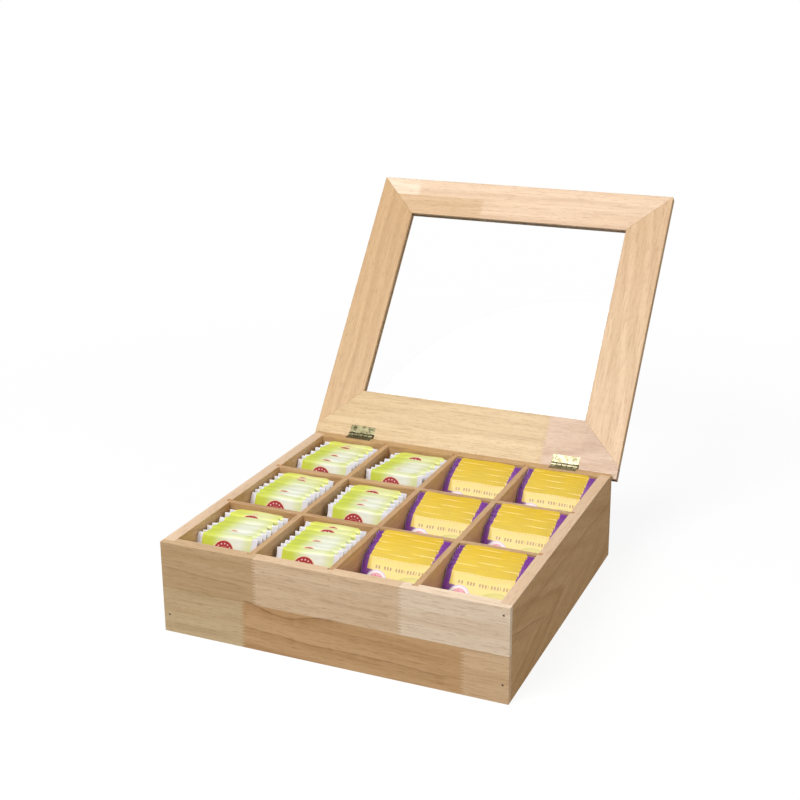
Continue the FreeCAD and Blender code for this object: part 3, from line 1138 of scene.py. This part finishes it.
@dataclass(frozen=True)
class PaneFinish:
    """A clear sheet with the faintest haze, which lets light through to what lies behind."""

    name: str = "clear_pane"

    def material(self) -> Material:
        """Makes the pane's material."""
        made, t, shader = begin_material(self.name)
        shader.inputs["Base Color"].default_value = (1.0, 1.0, 1.0, 1.0)
        shader.inputs["Transmission Weight"].default_value = 1.0
        shader.inputs["IOR"].default_value = 1.22
        haze = t.noise(t.node("TexCoord").outputs["Object"], 30.0, 4.0)
        t.feed(shader.inputs["Roughness"], t.remap(haze, 0.55, 0.9, 0.0, 0.05))
        clear = t.node("BsdfTransparent")
        clear.inputs["Color"].default_value = (0.93, 0.95, 0.94, 1.0)
        blend = t.node("MixShader")
        path = t.node("LightPath")
        t.feed(blend.inputs[0], t.plus(path.outputs["Is Shadow Ray"], path.outputs["Is Diffuse Ray"], clamp=True))
        t.feed(blend.inputs[1], shader.outputs[0])
        t.feed(blend.inputs[2], clear.outputs[0])
        t.feed(made.node_tree.nodes["Material Output"].inputs["Surface"], blend.outputs[0])
        return made


@dataclass(frozen=True)
class WrapperFinish:
    """The printed film of a sachet; prints are laid out in metres from its lower left corner."""

    name: str
    wide: float
    tall: float
    seal_left: float
    seal_right: float

    def start(self) -> tuple[Material, Tree, Socket]:
        """The new material, its tree and the place on the print."""
        made, t, _ = begin_material(self.name)
        uv = t.node("UVMap", uv_map="print").outputs[0]
        return made, t, t.vector("MULTIPLY", uv, (self.wide, self.tall, 0.0))

    @staticmethod
    def ink_and_highlight(t: Tree, mask: object, strength: float, colour: object, red: float, green: float, blue: float) -> Socket:
        """Lays a tone over a colour, as strongly as its mask and strength say: printed ink, and on the yellow film
        also a painted highlight.
        """
        return t.mix(t.times(mask, strength), colour, tone(red, green, blue))

    def seals(self, t: Tree, at: Socket) -> Socket:
        """The mask of the two sealed ends."""
        across, _, _ = t.parts(at)
        middle = t.group("band", Value=across, Low=self.seal_left, High=self.wide - self.seal_right, Soft=0.0004)
        return t.minus(1.0, middle.outputs["Mask"])

    def end(self, made: Material, t: Tree, at: Socket, colour: object,
            seal: Socket) -> Material:
        """Gives the film its sheen and creases, with painted shade in the crease hollows.

        Args:
            made: the material.
            t: its tree.
            at: the place on the print.
            colour: the printed colour.
            seal: the mask of the sealed ends.

        Returns:
            The finished material.
        """
        shader = made.node_tree.nodes["Principled BSDF"]
        creases = t.group("film_creases", Vector=at, Seal=seal)
        # painted shade: the film is darkened by up to a tenth where the crumple noise is low, in the crease hollows
        colour = t.mix(t.remap(creases.outputs["Crumple"], 0.35, 0.7, 0.10, 0.0), colour, (0.25, 0.22, 0.16))
        t.feed(shader.inputs["Base Color"], colour)
        t.feed(shader.inputs["Roughness"], t.math("MULTIPLY_ADD", creases.outputs["Crumple"], 0.25, third=0.28))
        shader.inputs["Coat Weight"].default_value = 0.15
        shader.inputs["Coat Roughness"].default_value = 0.2
        t.bump(shader, creases.outputs["Height"], 0.5, 0.0005)
        return made

    @staticmethod
    def tint(t: Tree) -> Socket:
        """How far a sachet takes its kind's deeper colour."""
        return t.node("Attribute", attribute_name="tint").outputs["Fac"]

    def spot(self, t: Tree, at: Socket, x: float, y: float, wide: float, high: float) -> Node:
        """A round or oval spot of the print."""
        return t.group("disc", Vector=at, Centre=(x, y, 0.0), Radii=(wide, high, 1.0))


@dataclass(frozen=True)
class GreenWrapper(WrapperFinish):
    """Lime fading to white, white sealed ends, and a red roundel with a pale leaf."""

    def material(self) -> Material:
        """Makes the wrapper's material."""
        made, t, at = self.start()
        across, up, _ = t.parts(at)
        blotch = t.noise(t.vector("MULTIPLY", at, (28.0, 22.0, 1.0)), 1.0, 2.0)
        lime, pale, milk = tone(206, 218, 66), tone(228, 236, 144), tone(242, 245, 228)
        colour = t.mix(t.remap(across, 0.22 * self.wide, 0.56 * self.wide), lime, milk)
        right = t.remap(t.plus(across, t.times(blotch, 0.008)), 0.74 * self.wide, 0.93 * self.wide)
        colour = t.mix(t.times(right, 0.7), colour, pale)
        colour = self.ink_and_highlight(t, self.tint(t), 0.75, colour, 238, 240, 104)
        top = t.remap(up, self.tall - 0.0050, self.tall - 0.0020)
        colour = self.ink_and_highlight(t, top, 0.4, colour, 222, 230, 104)
        centre = (0.46 * self.wide, self.tall - 0.0068 - 0.0092)
        ring = self.spot(t, at, *centre, 0.0101, 0.0100)
        red = self.spot(t, at, *centre, 0.0093, 0.0092)
        colour = self.ink_and_highlight(t, ring.outputs["Mask"], 0.85, colour, 250, 214, 178)
        colour = t.mix(red.outputs["Mask"], colour, tone(172, 16, 38))
        beads = t.times(self.arc(t, red.outputs["Far"], 0.66, 0.82), self.teeth(t, at, centre))
        colour = self.ink_and_highlight(t, beads, 0.8, colour, 250, 222, 214)
        hub = self.arc(t, red.outputs["Far"], 0.44, 0.52)
        colour = self.ink_and_highlight(t, hub, 0.55, colour, 244, 190, 178)
        leaf = self.leaf(t, at, centre)
        colour = self.ink_and_highlight(t, leaf, 0.85, colour, 246, 226, 206)
        seal = self.seals(t, at)
        colour = t.mix(seal, colour, tone(238, 236, 242))
        return self.end(made, t, at, colour, seal)

    @staticmethod
    def arc(t: Tree, far: Socket, low: float, high: float) -> Socket:
        """A ring between two shares of the roundel's radius."""
        return t.group("band", Value=far, Low=low, High=high, Soft=0.04).outputs["Mask"]

    @staticmethod
    def teeth(t: Tree, at: Socket, centre: tuple[float, float]) -> Socket:
        """Round beads spaced evenly all round the roundel."""
        x, y, _ = t.parts(t.vector("SUBTRACT", at, (*centre, 0.0)))
        angle = t.math("ARCTAN2", y, x)
        return t.remap(t.math("SINE", t.times(angle, 14.0)), 0.0, 0.5)

    def leaf(self, t: Tree, at: Socket, centre: tuple[float, float]) -> Socket:
        """A pointed leaf where two discs overlap."""
        left = self.spot(t, at, centre[0] - 0.0016, centre[1], 0.0027, 0.0027).outputs["Mask"]
        right = self.spot(t, at, centre[0] + 0.0016, centre[1], 0.0027, 0.0027).outputs["Mask"]
        return t.times(left, right)


@dataclass(frozen=True)
class YellowWrapper(WrapperFinish):
    """Golden yellow with violet sealed ends, and simple fruit shapes low on the face."""

    def material(self) -> Material:
        """Makes the wrapper's material."""
        made, t, at = self.start()
        across, up, _ = t.parts(at)
        gold, sun, butter = tone(230, 190, 32), tone(236, 203, 72), tone(242, 214, 98)
        cloud = t.noise(t.vector("MULTIPLY", at, (20.0, 60.0, 1.0)), 1.0, 2.0)
        colour = t.mix(t.remap(up, self.tall - 0.009, self.tall - 0.001), butter, sun)
        colour = t.mix(self.tint(t), colour, gold)
        colour = t.mix(t.times(t.remap(cloud, 0.4, 0.7), 0.35), colour, sun)
        base = self.tall - 0.0106 - 0.0097
        corner = t.times(t.remap(t.plus(t.times(across, 0.9), up), base + 0.0185, base + 0.0178),
                        t.remap(up, base + 0.0096, base + 0.0090))
        colour = t.mix(corner, colour, tone(122, 42, 140))
        colour = self.dashes(t, colour, across, up, self.tall - 0.0012, 0.0005, 330.0)
        colour = self.dashes(t, colour, across, up, self.tall - 0.0082, 0.0030, 400.0)
        colour = self.fruit(t, colour, at, base)
        seal = self.seals(t, at)
        violet = t.mix(t.remap(cloud, 0.35, 0.7), tone(138, 38, 172), tone(108, 22, 140))
        colour = t.mix(seal, colour, violet)
        # painted highlight: a pale lilac line along the film's left end, where the sealed edge would catch the light
        edge = t.remap(across, 0.0009, 0.0005)
        colour = self.ink_and_highlight(t, edge, 0.4, colour, 222, 196, 230)
        return self.end(made, t, at, colour, seal)

    def dashes(self, t: Tree, colour: object, across: Socket, up: Socket, height: float,
               thick: float, pitch: float) -> Socket:
        """A row of small brown strokes as an ornament.

        Args:
            t: the material's tree.
            colour: the colour beneath.
            across: the place across the print.
            up: the place up the print.
            height: the row's middle.
            thick: the strokes' height.
            pitch: strokes in a metre.

        Returns:
            The colour with the row.
        """
        row = t.group("band", Value=up, Low=height - thick / 2, High=height + thick / 2, Soft=0.0002).outputs["Mask"]
        side = t.group("band", Value=across, Low=0.17 * self.wide, High=0.86 * self.wide, Soft=0.0004).outputs["Mask"]
        beat = t.math("SINE", t.times(across, pitch * 6.283))
        slow = t.math("SINE", t.times(across, 610.0))
        stroke = t.times(t.remap(beat, -0.5, 0.1), t.remap(slow, -0.95, -0.80))
        mask = t.times(t.times(row, side), stroke)
        return t.mix(t.times(mask, 0.9), colour, tone(164, 116, 44))

    def fruit(self, t: Tree, colour: object, at: Socket, base: float) -> Socket:
        """A cut pink fruit, a brown star of spice and green-gold pears.

        Args:
            t: the material's tree.
            colour: the colour beneath.
            at: the place on the print.
            base: the height of the fruits' middle.

        Returns:
            The colour with the fruit.
        """
        seeds = t.noise(at, 900.0, 2.0)
        for x, y, wide, high, light, dark in (
                (0.72, 0.001, 0.0150, 0.0075, tone(232, 216, 100), tone(206, 196, 70)),
                (0.86, -0.003, 0.0085, 0.0080, tone(204, 210, 110), tone(176, 188, 80)),
                (0.62, -0.004, 0.0110, 0.0060, tone(240, 224, 120), tone(210, 190, 70))):
            spot = self.spot(t, at, x * self.wide, base + y, wide, high)
            flesh = t.mix(t.remap(spot.outputs["Far"], 0.3, 1.0), light, dark)
            colour = t.mix(spot.outputs["Mask"], colour, flesh)
        star = self.spot(t, at, 0.47 * self.wide, base + 0.001, 0.0022, 0.0020)
        colour = t.mix(t.times(star.outputs["Mask"], t.remap(seeds, 0.4, 0.5)), colour, tone(140, 92, 40))
        rind = self.spot(t, at, 0.23 * self.wide, base, 0.0098, 0.0097)
        skin = t.mix(t.remap(rind.outputs["Far"], 0.90, 0.95), tone(238, 224, 226), tone(206, 180, 214))
        colour = t.mix(rind.outputs["Mask"], colour, skin)
        flesh = self.spot(t, at, 0.23 * self.wide, base, 0.0070, 0.0070)
        pulp = t.mix(t.remap(seeds, 0.42, 0.62), tone(214, 96, 128), tone(240, 176, 180))
        return t.mix(flesh.outputs["Mask"], colour, pulp)


# ---------------------------------------------------------------------------------------------
# sachets


class Kind(Enum):
    """The two kinds of sachet."""

    GREEN = "green"
    YELLOW = "yellow"


@dataclass(frozen=True)
class Compartment:
    """The clear space between two dividers each way."""

    left: float
    front: float
    wide: float
    deep: float
    floor: float
    rim: float

    @staticmethod
    def grid() -> list[list["Compartment"]]:
        """Every compartment, by column from the left and row from the front."""
        long_ones = [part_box(f"divider_long_{n}") for n in (1, 2, 3)]
        cross_ones = [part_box(f"divider_cross_{n}") for n in (1, 2)]
        lows = [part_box("panel_left")[1].x] + [high.x for _, high in long_ones]
        highs = [low.x for low, _ in long_ones] + [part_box("panel_right")[0].x]
        fronts = [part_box("panel_front")[1].y] + [high.y for _, high in cross_ones]
        backs = [low.y for low, _ in cross_ones] + [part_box("panel_back")[0].y]
        floor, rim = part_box("panel_floor")[1].z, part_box("panel_front")[1].z
        return [[Compartment(lows[c], fronts[r], highs[c] - lows[c], backs[r] - fronts[r], floor, rim)
                 for r in range(3)] for c in range(4)]


@dataclass(frozen=True)
class StackPlan:
    """How the sachets of one kind stand in a compartment, as the CAD stacks do."""

    kind: Kind
    room: float
    under: float
    leans: tuple[float, float]
    front: float
    rear: float
    side: float
    sink: float
    drift: tuple[tuple[float, float], ...]
    thick: tuple[float, ...]
    registers: tuple[float, ...]
    tints: tuple[float, ...]
    bulk: float
    droop: float = 0.0
    seal: tuple[float, float] = (0.005, 0.005)
    slack: float = 0.90
    roll: float = 0.0019
    pinch: float = 0.50
    swell: float = 0.0045
    ripple: float = 0.07

    @property
    def count(self) -> int:
        """How many sachets there are in a compartment."""
        return len(self.thick)

    def slot(self, number: int) -> tuple[float, float]:
        """The shares of the stack's depth between which a sachet lies."""
        whole = sum(self.thick)
        start = sum(self.thick[:number]) / whole
        return start, start + self.thick[number] / whole

    def wide(self, space: Compartment) -> float:
        """A sachet's width."""
        return space.wide - self.room

    def tall(self, space: Compartment) -> float:
        """A sachet's height."""
        return (space.rim - self.under - space.floor) / math.cos(math.radians(self.leans[1]))

    def surface(self, space: Compartment, share: float) -> tuple[float, float]:
        """The foot and lean of the plane at a share of the stack's depth.

        Args:
            space: the compartment.
            share: 0 at the stack's front, 1 at its rear.

        Returns:
            The foot's distance from the compartment's front, and the lean in radians.
        """
        first, last = [math.radians(lean) for lean in self.leans]
        foot = space.deep - self.rear - self.tall(space) * math.sin(last)
        return self.front + (foot - self.front) * share, first + (last - first) * share

    def settle(self, space: Compartment, share: float, a: float, b: float) -> Vector:
        """The point of the compartment where a point of a leaning sheet comes to lie."""
        foot, lean = self.surface(space, share)
        return Vector((a, space.front + foot + b * math.sin(lean), space.floor + b * math.cos(lean)))


GREEN_PLAN = StackPlan(
    Kind.GREEN, 0.0098, 0.0030, (21.5, 19.5), 0.0025, 0.0015, 0.0003, 0.0016,
    drift=((0.0004, 0.0040), (0.0004, 0.0033), (0.0004, 0.0060), (0.0040, 0.0050), (0.0055, 0.0035), (0.0015, 0.0094)),
    thick=(0.80, 0.80, 1.05, 1.25, 1.30, 1.05, 0.75),
    registers=(0.0, -0.0043, -0.0040, -0.0040, -0.0020, -0.0062, -0.0044),
    tints=(0.0, 0.0, 0.0, 0.1, 0.2, 0.75, 0.9), bulk=0.0072,
    droop=0.0026, seal=(0.0046, 0.0050), slack=0.96)
YELLOW_PLAN = StackPlan(
    Kind.YELLOW, 0.0013, 0.0003, (36.5, 22.0), 0.0040, 0.0005, 0.0004, 0.0008,
    drift=((0.0003, 0.0005),),
    thick=(1.15, 1.0, 1.0, 1.1, 1.0, 1.0, 0.9, 0.9),
    registers=(0.0, -0.0028, -0.0032, -0.0026, -0.0030, -0.0028, -0.0034, -0.0029),
    tints=(0.0, 0.25, 0.35, 0.5, 0.65, 0.8, 0.95, 1.0), bulk=0.0038,
    seal=(0.0050, 0.0066), slack=1.0, roll=0.0005, pinch=0.93, swell=0.0020, ripple=0.010)


SEALED = 0.10   # the thickness of a sealed end, as a part of the full sachet's
CROWDED = 2.2   # how much closer the rows of the mesh lie at the top


@dataclass
class Sachet:
    """One wrapped sachet: a soft pillow between two flat sealed ends."""

    plan: StackPlan
    wide: float
    tall: float
    columns: int = 30
    rows: int = 22

    def model(self) -> Piece:
        """Models the sachet upright at the origin, one metre thick, for settling into its place.

        Returns:
            The pattern that every sachet of the kind is copied from.
        """
        Bench.clear()
        bpy.ops.mesh.primitive_grid_add(x_subdivisions=self.columns, y_subdivisions=self.rows, size=1.0,
                                        location=(0.5, 0.5, 0.5), rotation=(math.pi / 2, 0, 0))
        piece = Bench.finish(bpy.context.object, "sachet_pattern")

        def steps() -> None:
            """Gives the sheet its thickness."""
            bpy.ops.mesh.extrude_region_move(TRANSFORM_OT_translate={"value": (0, -1.0, 0)})
            bpy.ops.mesh.normals_make_consistent(inside=False)

        Bench.edit(piece, steps)
        for vertex in piece.data.vertices:
            share, side, up = vertex.co
            height = 1 - (1 - up) ** CROWDED
            full, fold = self.puff(share, height), self.fold(height)
            across = side * full * fold + (1 - fold) * 0.46 * full - (1 - full) * 0.34
            vertex.co = (share * self.wide, across, height * self.tall)
        self.lay_print(piece)
        return piece

    def puff(self, share: float, height: float) -> float:
        """How full the pillow is, from 0 to 1, at a place on its face.

        Args:
            share: the place across the sachet, from 0 to 1.
            height: the place up the sachet, from 0 to 1.

        Returns:
            The part of the full thickness there.
        """
        left, right = self.plan.seal
        inside = min((share * self.wide - left), (1 - share) * self.wide - right)
        swell = max(0.0, min(1.0, inside / self.plan.swell))
        return SEALED + (1 - SEALED) * (swell * swell * (3 - 2 * swell)) ** 0.6

    def fold(self, height: float) -> float:
        """How far the wrapper has opened out below its top fold, from 0 to 1."""
        below = max(0.0, min(1.0, (1 - height) * self.tall / self.plan.roll))
        return self.plan.pinch + (1 - self.plan.pinch) * math.sqrt(below * (2 - below))

    def film(self, height: float, steps: int = 24) -> float:
        """The length of film from the top edge down to a height.

        Args:
            height: the place up the sachet, from 0 to 1.
            steps: how many straight runs the rounded film is measured by.

        Returns:
            The length in metres, measured along the rounding.
        """
        marks = [1 - (1 - height) * step / steps for step in range(steps + 1)]
        return sum(math.hypot((a - b) * self.tall, (self.fold(a) - self.fold(b)) * self.plan.bulk)
                   for a, b in zip(marks, marks[1:]))

    def lay_print(self, piece: Piece) -> None:
        """Unwraps the film, so that the print runs over the rounded top without stretching."""
        layer = piece.data.uv_layers.new(name="print")
        lengths = {round(vertex.co.z, 6): 0.0 for vertex in piece.data.vertices}
        for height in lengths:
            lengths[height] = self.film(height / self.tall)
        for loop in piece.data.loops:
            corner = piece.data.vertices[loop.vertex_index].co
            layer.data[loop.index].uv = (corner.x / self.wide, 1 - lengths[round(corner.z, 6)] / self.tall)


@dataclass
class Stack:
    """All the sachets of one compartment as one piece."""

    name: str
    plan: StackPlan
    space: Compartment
    seed: int
    in_front: bool
    pattern: Piece
    material: Material

    def build(self) -> Piece:
        """Settles a copy of the sachet into each place of the stack and joins them.

        Returns:
            The joined piece.
        """
        count = self.plan.count
        parts = [self.settled(number) for number in range(count)]
        piece = Bench.join(parts, "stack_of_" + self.name)
        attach(piece, "case")
        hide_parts(self.name)
        LOG.info("stack %s: %d sachets, %d faces", self.name, count, len(piece.data.polygons))
        return piece

    def settled(self, number: int) -> Piece:
        """One sachet in its place.

        Args:
            number: its place from the front.

        Returns:
            The sachet, leaning between its neighbours.
        """
        plan, space = self.plan, self.space
        stray, depth = unevenness(number + 2, self.seed + 1), number / (plan.count - 1)
        near, far = plan.drift[self.seed % len(plan.drift)]
        left = space.left + near + (far - near) * depth + plan.side * unevenness(number, self.seed)
        sink = plan.sink * 0.6 * unevenness(number + 1, 2 * self.seed + 1)
        droop = (plan.droop if self.in_front else 0.2 * plan.droop) * (1.0 - 0.8 * depth)
        start, end = plan.slot(number)
        wide, tall = plan.wide(space), plan.tall(space)
        phase = 1.7 * number + 0.9 * self.seed
        bend = plan.ripple * math.sin(2.1 * phase)
        piece = Bench.copy_of(self.pattern, f"sachet_{number}")
        for vertex in piece.data.vertices:
            a, side, b = vertex.co
            share, height = a / wide, b / tall
            edge = (2 * abs(share - 0.5)) ** 6
            ripple = plan.ripple * math.sin(38 * height + 9 * share + phase)
            ripple *= (edge + 0.1) * min(1.0, 4 * (1 - height) + 0.2)
            slack = max(-0.5, min(0.5, plan.slack * side + bend * edge * height + ripple))
            up = b * (tall - sink) / tall
            up -= droop * (1 - share) * height + 0.0005 * height * math.sin(5 * share + phase) ** 2
            across = a + 0.0004 * math.sin(26 * height + phase) * edge
            vertex.co = plan.settle(space, start + (end - start) * (0.5 + slack), left + across, max(0.0, up))
        Bench.smooth(piece, 50)
        register = plan.registers[number] + 0.0004 * (stray - 0.5)
        for corner in piece.data.uv_layers["print"].data:
            corner.uv.y += register / tall
        tint = piece.data.attributes.new("tint", "FLOAT", "POINT")
        for value in tint.data:
            value.value = plan.tints[number]
        piece.data.materials.append(self.material)
        return piece


@dataclass
class Contents:
    """Every stack of sachets, green ones in the left columns and yellow ones in the right."""

    green_columns: int = 2
    stacks: list[Piece] = field(default_factory=list)

    def build(self) -> None:
        """Models each kind once and stacks it in its compartments."""
        grid = Compartment.grid()
        kit = {}
        for plan, finish in ((GREEN_PLAN, GreenWrapper), (YELLOW_PLAN, YellowWrapper)):
            wide, tall = plan.wide(grid[0][0]), plan.tall(grid[0][0])
            wrapper = finish(f"{plan.kind.value}_wrapper", wide, tall, *plan.seal)
            kit[plan.kind] = (plan, Sachet(plan, wide, tall).model(), wrapper.material())
        for column, spaces in enumerate(grid):
            kind = Kind.GREEN if column < self.green_columns else Kind.YELLOW
            plan, pattern, material = kit[kind]
            for row, space in enumerate(spaces):
                number = row * self.green_columns + column % self.green_columns + 1
                seed = column * len(spaces) + row
                stack = Stack(f"sachets_{kind.value}_{number}", plan, space, seed, row == 0, pattern, material)
                self.stacks.append(stack.build())
        for _, pattern, _ in kit.values():
            bpy.data.objects.remove(pattern)


# ---------------------------------------------------------------------------------------------
# studio


LIT_POINT = Vector((0, 0.05, 0.1))
LAMP_DISTANCE = 2.4


@dataclass
class Studio:
    """The floor, the lamps and the camera."""

    floor_tone: float = 0.12
    lift: float = 0.89
    mirrored: float = 0.16
    sky: float = 0.32
    key_power: float = 48.0
    fill_power: float = 18.0
    white_from: float = 0.35
    white_to: float = 1.10

    def build(self) -> None:
        """Sets the whole studio."""
        bpy.context.scene.view_settings.view_transform = "Standard"
        self.floor()
        self.world()
        self.lamp("key_lamp", Vector((-0.22, -0.62, 0.75)), 1.3, self.key_power)
        self.lamp("fill_lamp", Vector((0.97, -0.12, 0.20)), 1.5, self.fill_power)
        self.camera()

    def floor(self) -> None:
        """A plain pale floor that the camera sees nearly white, and that keeps the shadow."""
        Bench.clear()
        bpy.ops.mesh.primitive_plane_add(size=16.0, location=(0, 4.0, 0))
        floor = Bench.finish(bpy.context.object, "floor")
        made, t, shader = begin_material("floor_paint")
        shader.inputs["Base Color"].default_value = (self.floor_tone,) * 3 + (1.0,)
        shader.inputs["Roughness"].default_value = 1.0
        shader.inputs["Specular IOR Level"].default_value = 0.0
        glow = t.node("Emission")
        glow.inputs["Color"].default_value = (1, 1, 1, 1)
        t.feed(glow.inputs["Strength"], t.times(self.seen(t), self.lift))
        both = t.node("AddShader")
        t.feed(both.inputs[0], shader.outputs[0])
        t.feed(both.inputs[1], glow.outputs[0])
        white = t.node("Emission")
        white.inputs["Color"].default_value = (1, 1, 1, 1)
        white.inputs["Strength"].default_value = 1.0
        far = t.vector("LENGTH", t.node("TexCoord").outputs["Object"])
        edge = t.times(t.remap(far, self.white_from, self.white_to), self.seen(t))
        blend = t.node("MixShader")
        t.feed(blend.inputs[0], edge)
        t.feed(blend.inputs[1], both.outputs[0])
        t.feed(blend.inputs[2], white.outputs[0])
        t.feed(made.node_tree.nodes["Material Output"].inputs["Surface"], blend.outputs[0])
        floor.data.materials.append(made)

    @staticmethod
    def seen(t: Tree) -> Socket:
        """One for rays from the camera, and for those that only a clear sheet has turned."""
        path = t.node("LightPath")
        straight = t.math("LESS_THAN", path.outputs["Diffuse Depth"], 0.5)
        through = t.times(path.outputs["Is Transmission Ray"], straight)
        return t.plus(path.outputs["Is Camera Ray"], through, clamp=True)

    def world(self) -> None:
        """An even sky, white where the camera sees it."""
        world = bpy.data.worlds.new("studio_sky")
        bpy.context.scene.world = world
        world.use_nodes = True
        t = Tree(world.node_tree)
        sky = world.node_tree.nodes["Background"]
        sky.inputs["Color"].default_value = (1, 1, 1, 1)
        strength = t.remap(self.seen(t), 0.0, 1.0, self.sky, 1.0, smooth=False)
        mirrored = t.times(t.node("LightPath").outputs["Is Glossy Ray"], self.mirrored)
        t.feed(sky.inputs["Strength"], t.plus(strength, mirrored))

    @staticmethod
    def lamp(name: str, towards: Vector, size: float, power: float) -> None:
        """One broad soft lamp.

        Args:
            name: the lamp's name.
            towards: where it stands, seen from the box.
            size: the width of its disc in metres.
            power: its power in watts.
        """
        lamp = bpy.data.lights.new(name, "AREA")
        lamp.shape, lamp.size, lamp.energy = "DISK", size, power
        stand = bpy.data.objects.new(name, lamp)
        bpy.context.scene.collection.objects.link(stand)
        towards = towards.normalized()
        stand.location = LIT_POINT + towards * LAMP_DISTANCE
        stand.rotation_euler = towards.to_track_quat("Z", "Y").to_euler()

    def camera(self) -> None:
        """The camera, a little to the right and above the rim."""
        data = bpy.data.cameras.new("view")
        data.sensor_width, data.lens = 36.0, 60.76
        data.shift_x, data.shift_y = -0.0375, -0.05
        data.clip_end = 60.0
        camera = bpy.data.objects.new("view", data)
        bpy.context.scene.collection.objects.link(camera)
        azimuth, rise = math.radians(22.5), math.radians(17.25)
        back = Vector((math.sin(azimuth) * math.cos(rise), -math.cos(azimuth) * math.cos(rise), math.sin(rise)))
        camera.location = (0.4348, -0.9806, 0.5445)
        camera.rotation_euler = back.to_track_quat("Z", "Y").to_euler()
        bpy.context.scene.camera = camera


def corners(pair: Iterable[Numbers]) -> list[list[float]]:
    """A box as plain lists of numbers."""
    return [[round(float(value), 6) for value in corner] for corner in pair]


def main() -> None:
    """Builds the box, its contents and the studio."""
    logging.basicConfig(level=logging.INFO, format="%(name)s: %(message)s")
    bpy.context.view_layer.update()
    SharedEffects().build()
    hinging = Hinging.read()
    # the two hinges share one brass, made in two copies: the left painted dimmer as painted shade, the right painted
    # brighter as a painted reflection
    dull = MetalFinish("hinge_brass_aged", tone(138, 132, 102), tone(92, 86, 58), 0.46).material()
    bright = MetalFinish("hinge_brass_clean", tone(176, 168, 138), tone(140, 132, 100), 0.42).material()
    steel = MetalFinish("nail_steel", tone(120, 108, 96), tone(70, 58, 50), 0.5).material()
    Case().build(steel)
    Lid(hinging).build(PaneFinish().material())
    Hinges(hinging).build(dull, bright)
    Contents().build()
    Studio().build()
    LOG.info("all pieces built")


if __name__ == "__main__":
    main()
